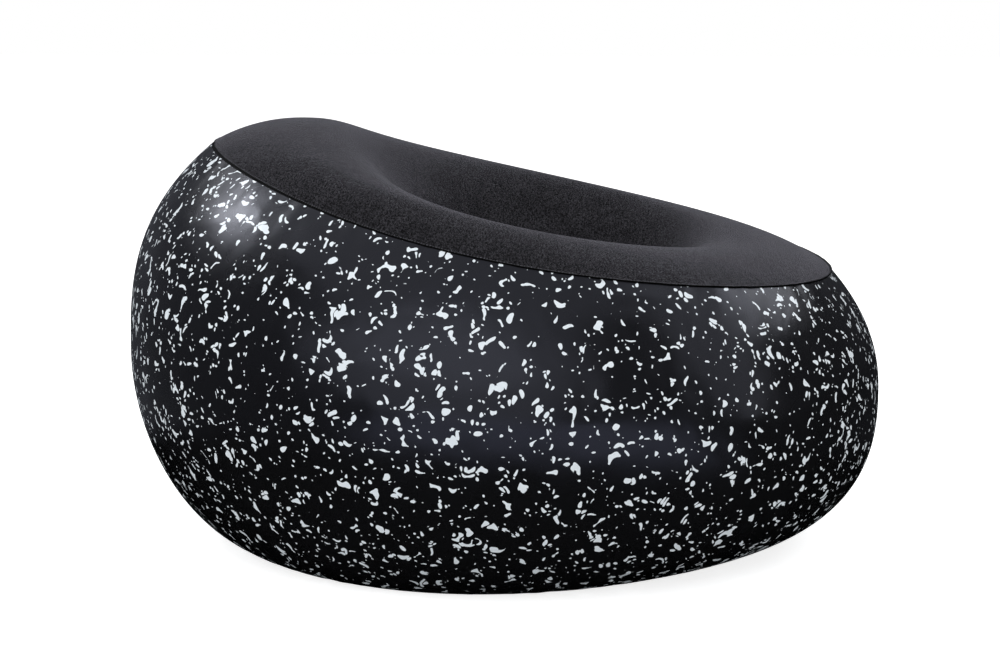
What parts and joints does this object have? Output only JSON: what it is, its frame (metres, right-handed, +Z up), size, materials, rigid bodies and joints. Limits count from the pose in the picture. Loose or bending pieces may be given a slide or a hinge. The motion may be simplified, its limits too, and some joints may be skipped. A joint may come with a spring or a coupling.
{
  "type": "inflatable chair",
  "caption": "Round inflatable lounge chair with a low front, a high back, a flocked seat hollow and a capped air valve.",
  "frame": {"origin": "On the floor under the middle of the chair's round outline.", "axes": "+Z up, the low front faces -Y, the high back +Y, and +X is the side that carries the valve, towards the back."},
  "size_m": [1.1176, 1.1176, 0.6227],
  "materials": {
    "patterned_pvc": "satin black sheet with pale blue-white flecks",
    "plain_pvc": "satin black sheet",
    "flocked_pvc": "charcoal flocking, velvety",
    "tie_pvc": "satin dark sheet",
    "valve_plastic": "fine moulded texture",
    "valve_insert_plastic": "smooth moulded",
    "valve_rubber": "soft, matte",
    "pin_steel": "drawn wire"
  },
  "bodies": {
    "chair": {"side_wall": "patterned_pvc", "seat_sheet": "flocked_pvc", "base_sheet": "plain_pvc", "tether_tube": "tie_pvc", "seat_reinforcing_ring": "plain_pvc", "base_reinforcing_ring": "plain_pvc", "valve_base": "valve_plastic", "valve_insert": "valve_insert_plastic", "insert_seal": "valve_rubber", "flap_pin": "pin_steel", "strap_anchor_ring": "valve_rubber"},
    "strap": {"cap_strap": "valve_rubber"},
    "cap": {"valve_cap": "valve_plastic", "cap_gasket": "valve_rubber"},
    "flap": {"check_flap": "valve_rubber"}
  },
  "joints": [
    {"name": "cap_lift", "type": "slide", "parent": "chair", "child": "strap", "axis": [0.4743, 0.7907, -0.387], "range_m": [0, 0.008]},
    {"name": "cap_unscrew", "type": "hinge", "parent": "strap", "child": "cap", "pos_m": [0.26302, 0.45557, 0.14699], "axis": [0.4743, 0.7907, -0.387], "range_deg": [0, 720]},
    {"name": "flap_swing", "type": "hinge", "parent": "chair", "child": "flap", "pos_m": [0.26039, 0.45119, 0.16377], "axis": [-0.8576, 0.5144, 0], "range_deg": [0, 65]}
  ],
  "couplings": [
    {"joint": "cap_lift", "follows": "cap_unscrew", "m_per_rad": 0.00063662}
  ]
}
